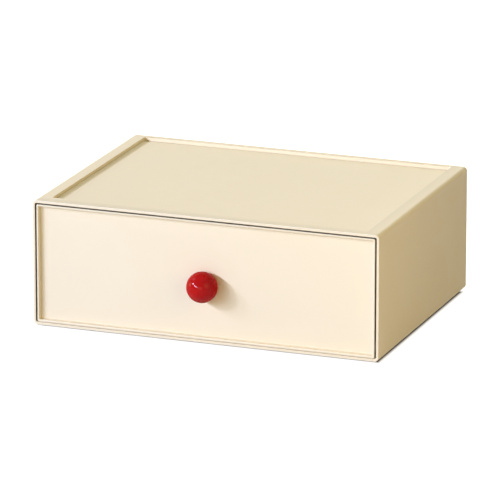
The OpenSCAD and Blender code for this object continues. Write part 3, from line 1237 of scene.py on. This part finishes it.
# A long key at the front left, in four lengths, and soft fills all round.
LAMPS = (
    SoftBox("key_1", (-1.345, -3.701, 0.841), (-0.793, 0.393, 0.466), 0.97, 0.2, 16.0, Tint.COOL),
    SoftBox("key_2", (-2.038, -3.246, 1.249), (-0.693, 0.595, 0.408), 0.89, 0.2, 36.0, Tint.COOL),
    SoftBox("key_3", (-2.573, -2.683, 1.563), (-0.570, 0.750, 0.335), 0.50, 0.3, 45.0, Tint.COOL),
    SoftBox("key_4", (-2.970, -2.043, 1.797), (-0.432, 0.866, 0.254), 0.79, 0.2, 29.0, Tint.COOL),
    SoftBox("left", (-3.881, -0.632, 0.826), (0.0, 1.0, 0.0), 1.42, 1.42, 22.0, Tint.SUNNY),
    SoftBox("upper_left", (-3.010, -0.050, 2.684), (0.0, 1.0, 0.0), 1.06, 1.06, 10.0, Tint.COOL),
    SoftBox("overhead", (0.000, 2.778, 2.878), (1.0, 0.0, 0.0), 1.77, 1.77, 81.0, Tint.WARM),
    SoftBox("front", (0.394, -3.987, 0.640), (1.0, 0.0, 0.0), 2.6, 1.2, 18.0, Tint.WARM),
    SoftBox("side", (3.259, 1.399, 1.861), (0.0, 1.0, 0.0), 1.77, 1.77, 3.0, Tint.AMBER),
    SoftBox("near_side", (0.55, -0.45, 0.3), (0.45, 0.55, 0.0), 0.4, 0.4, 1.15, Tint.AMBER),
)


@dataclass(frozen=True)
class StudioFloor:
    """Pale matt board that shows as white and keeps the shadow that falls on it, with a darker tone
    painted under the box as its contact shadow.

    near and far are distances from the origin in metres, and the two pairs say where the clear
    board starts, past the painted contact shadow, and where it is full, in millimetres.
    """

    tone: Colour = (0.55, 0.53, 0.49)
    fleck: Colour = (0.51, 0.49, 0.45)
    # The tone painted under the box as its contact shadow.
    under: Colour = (0.2, 0.18, 0.15)
    fleck_cells: float = 30.0
    shown: float = 0.92
    near: float = 0.28
    far: float = 0.75
    clear_x: Pair = (137.0, 140.0)
    clear_y: Pair = (98.3, 101.3)

    def material(self) -> bpy.types.Material:
        """Builds the material.

        What the camera and mirrors see of the board glows, fully past the far radius, where it
        meets the white backdrop, and not under the box, where the board's tone is darkened as a
        painted contact shadow. The glow lights nothing.

        Returns:
            The board.
        """
        r = Recipe(bpy.data.materials.new("studio_board"))
        board = r.mixed(r.clouds(self.fleck_cells, 4.0), self.tone, self.fleck)
        away = r.add("VectorMath", {0: r.place}, operation="LENGTH").outputs["Value"]
        x, y = (r.maths("ABSOLUTE", axis) for axis in r.axes[:2])
        clear = r.largest(r.ramp(x, *self.clear_x), r.ramp(y, *self.clear_y))
        matt = r.add("BsdfDiffuse", {"Color": r.mixed(clear, self.under, board)})
        glow = r.ranged(away, self.shown, 1.0, (self.near, self.far))
        strength = r.product(glow, clear, r.seen_directly())
        light = r.add("Emission", {"Color": WHITE, "Strength": strength})
        return r.done(r.add("AddShader", {0: matt.outputs[0], 1: light.outputs[0]}))


@dataclass
class Studio:
    """The floor, the backdrop and the lamps."""

    ambient: Tint = Tint.AMBER
    ambient_power: float = 0.11
    reach: float = 4.0
    lines: int = 9
    below: float = 0.0001

    def build(self) -> None:
        """Lays the floor, sets the backdrop and hangs the lamps."""
        self.floor()
        self.backdrop()
        for lamp in LAMPS:
            lamp.build()

    def floor(self) -> None:
        """Lays the board: an even grid of points just under the soles, from edge to edge."""
        line = np.linspace(-self.reach, self.reach, self.lines)
        x, y = np.meshgrid(line, line, indexing="ij")
        points = np.stack([x, y, np.full_like(x, -self.below)], axis=2).reshape(-1, 3)
        number = np.arange(x.size).reshape(x.shape)
        corners = number[:-1, :-1], number[1:, :-1], number[1:, 1:], number[:-1, 1:]
        mesh = bpy.data.meshes.new("studio_floor")
        mesh.from_pydata(points.tolist(), [], np.stack(corners, axis=2).reshape(-1, 4).tolist())
        mesh.materials.append(StudioFloor().material())
        floor = linked("studio_floor", mesh)

    def backdrop(self) -> None:
        """Makes a world that shows as white and lights softly in the ambient colour."""
        world = bpy.data.worlds.new("studio_backdrop")
        bpy.context.scene.world = world
        r = Recipe(world)
        ambient = {"Color": self.ambient.value, "Strength": self.ambient_power}
        lit = r.add("Background", ambient)
        white = r.add("Background", {"Color": WHITE, "Strength": 1.0})
        either = {0: r.seen_directly(), 1: lit.outputs[0], 2: white.outputs[0]}
        r.done(r.add("MixShader", either), "OutputWorld")


@dataclass(frozen=True)
class PhotoCamera:
    """The camera at the photograph's angle, a long lens some way off."""

    azimuth: float = 20.548
    elevation: float = 16.163
    roll: float = 0.032
    distance: float = 4.1135
    aim: Point = (0.025708, -0.073394, 0.069244)
    lens: float = 390.6

    def build(self) -> None:
        """Sets up the camera and makes it the scene's own."""
        a, e = math.radians(self.azimuth), math.radians(self.elevation)
        back = Vector((math.sin(a) * math.cos(e), -math.cos(a) * math.cos(e), math.sin(e)))
        data = bpy.data.cameras.new("photo_camera")
        data.lens, data.sensor_width, data.clip_start, data.clip_end = self.lens, 36.0, 0.1, 60.0
        camera = linked("photo_camera", data)
        turn = (-back).to_track_quat("-Z", "Y").to_matrix().to_4x4()
        turn = turn @ Matrix.Rotation(math.radians(self.roll), 4, "Z")
        camera.matrix_world = Matrix.Translation(Vector(self.aim) + back * self.distance) @ turn
        bpy.context.scene.camera = camera


def main() -> None:
    """Builds the box and its studio, in order."""
    logging.basicConfig(level=logging.INFO, format="%(name)s: %(message)s")
    PhotoCamera().build()
    for part in (Casing(), DrawerTub(), DrawerFront(), Knob()):
        part.build()
    Studio().build()
    bpy.context.scene.view_settings.view_transform = "Standard"


if __name__ == "__main__":
    main()
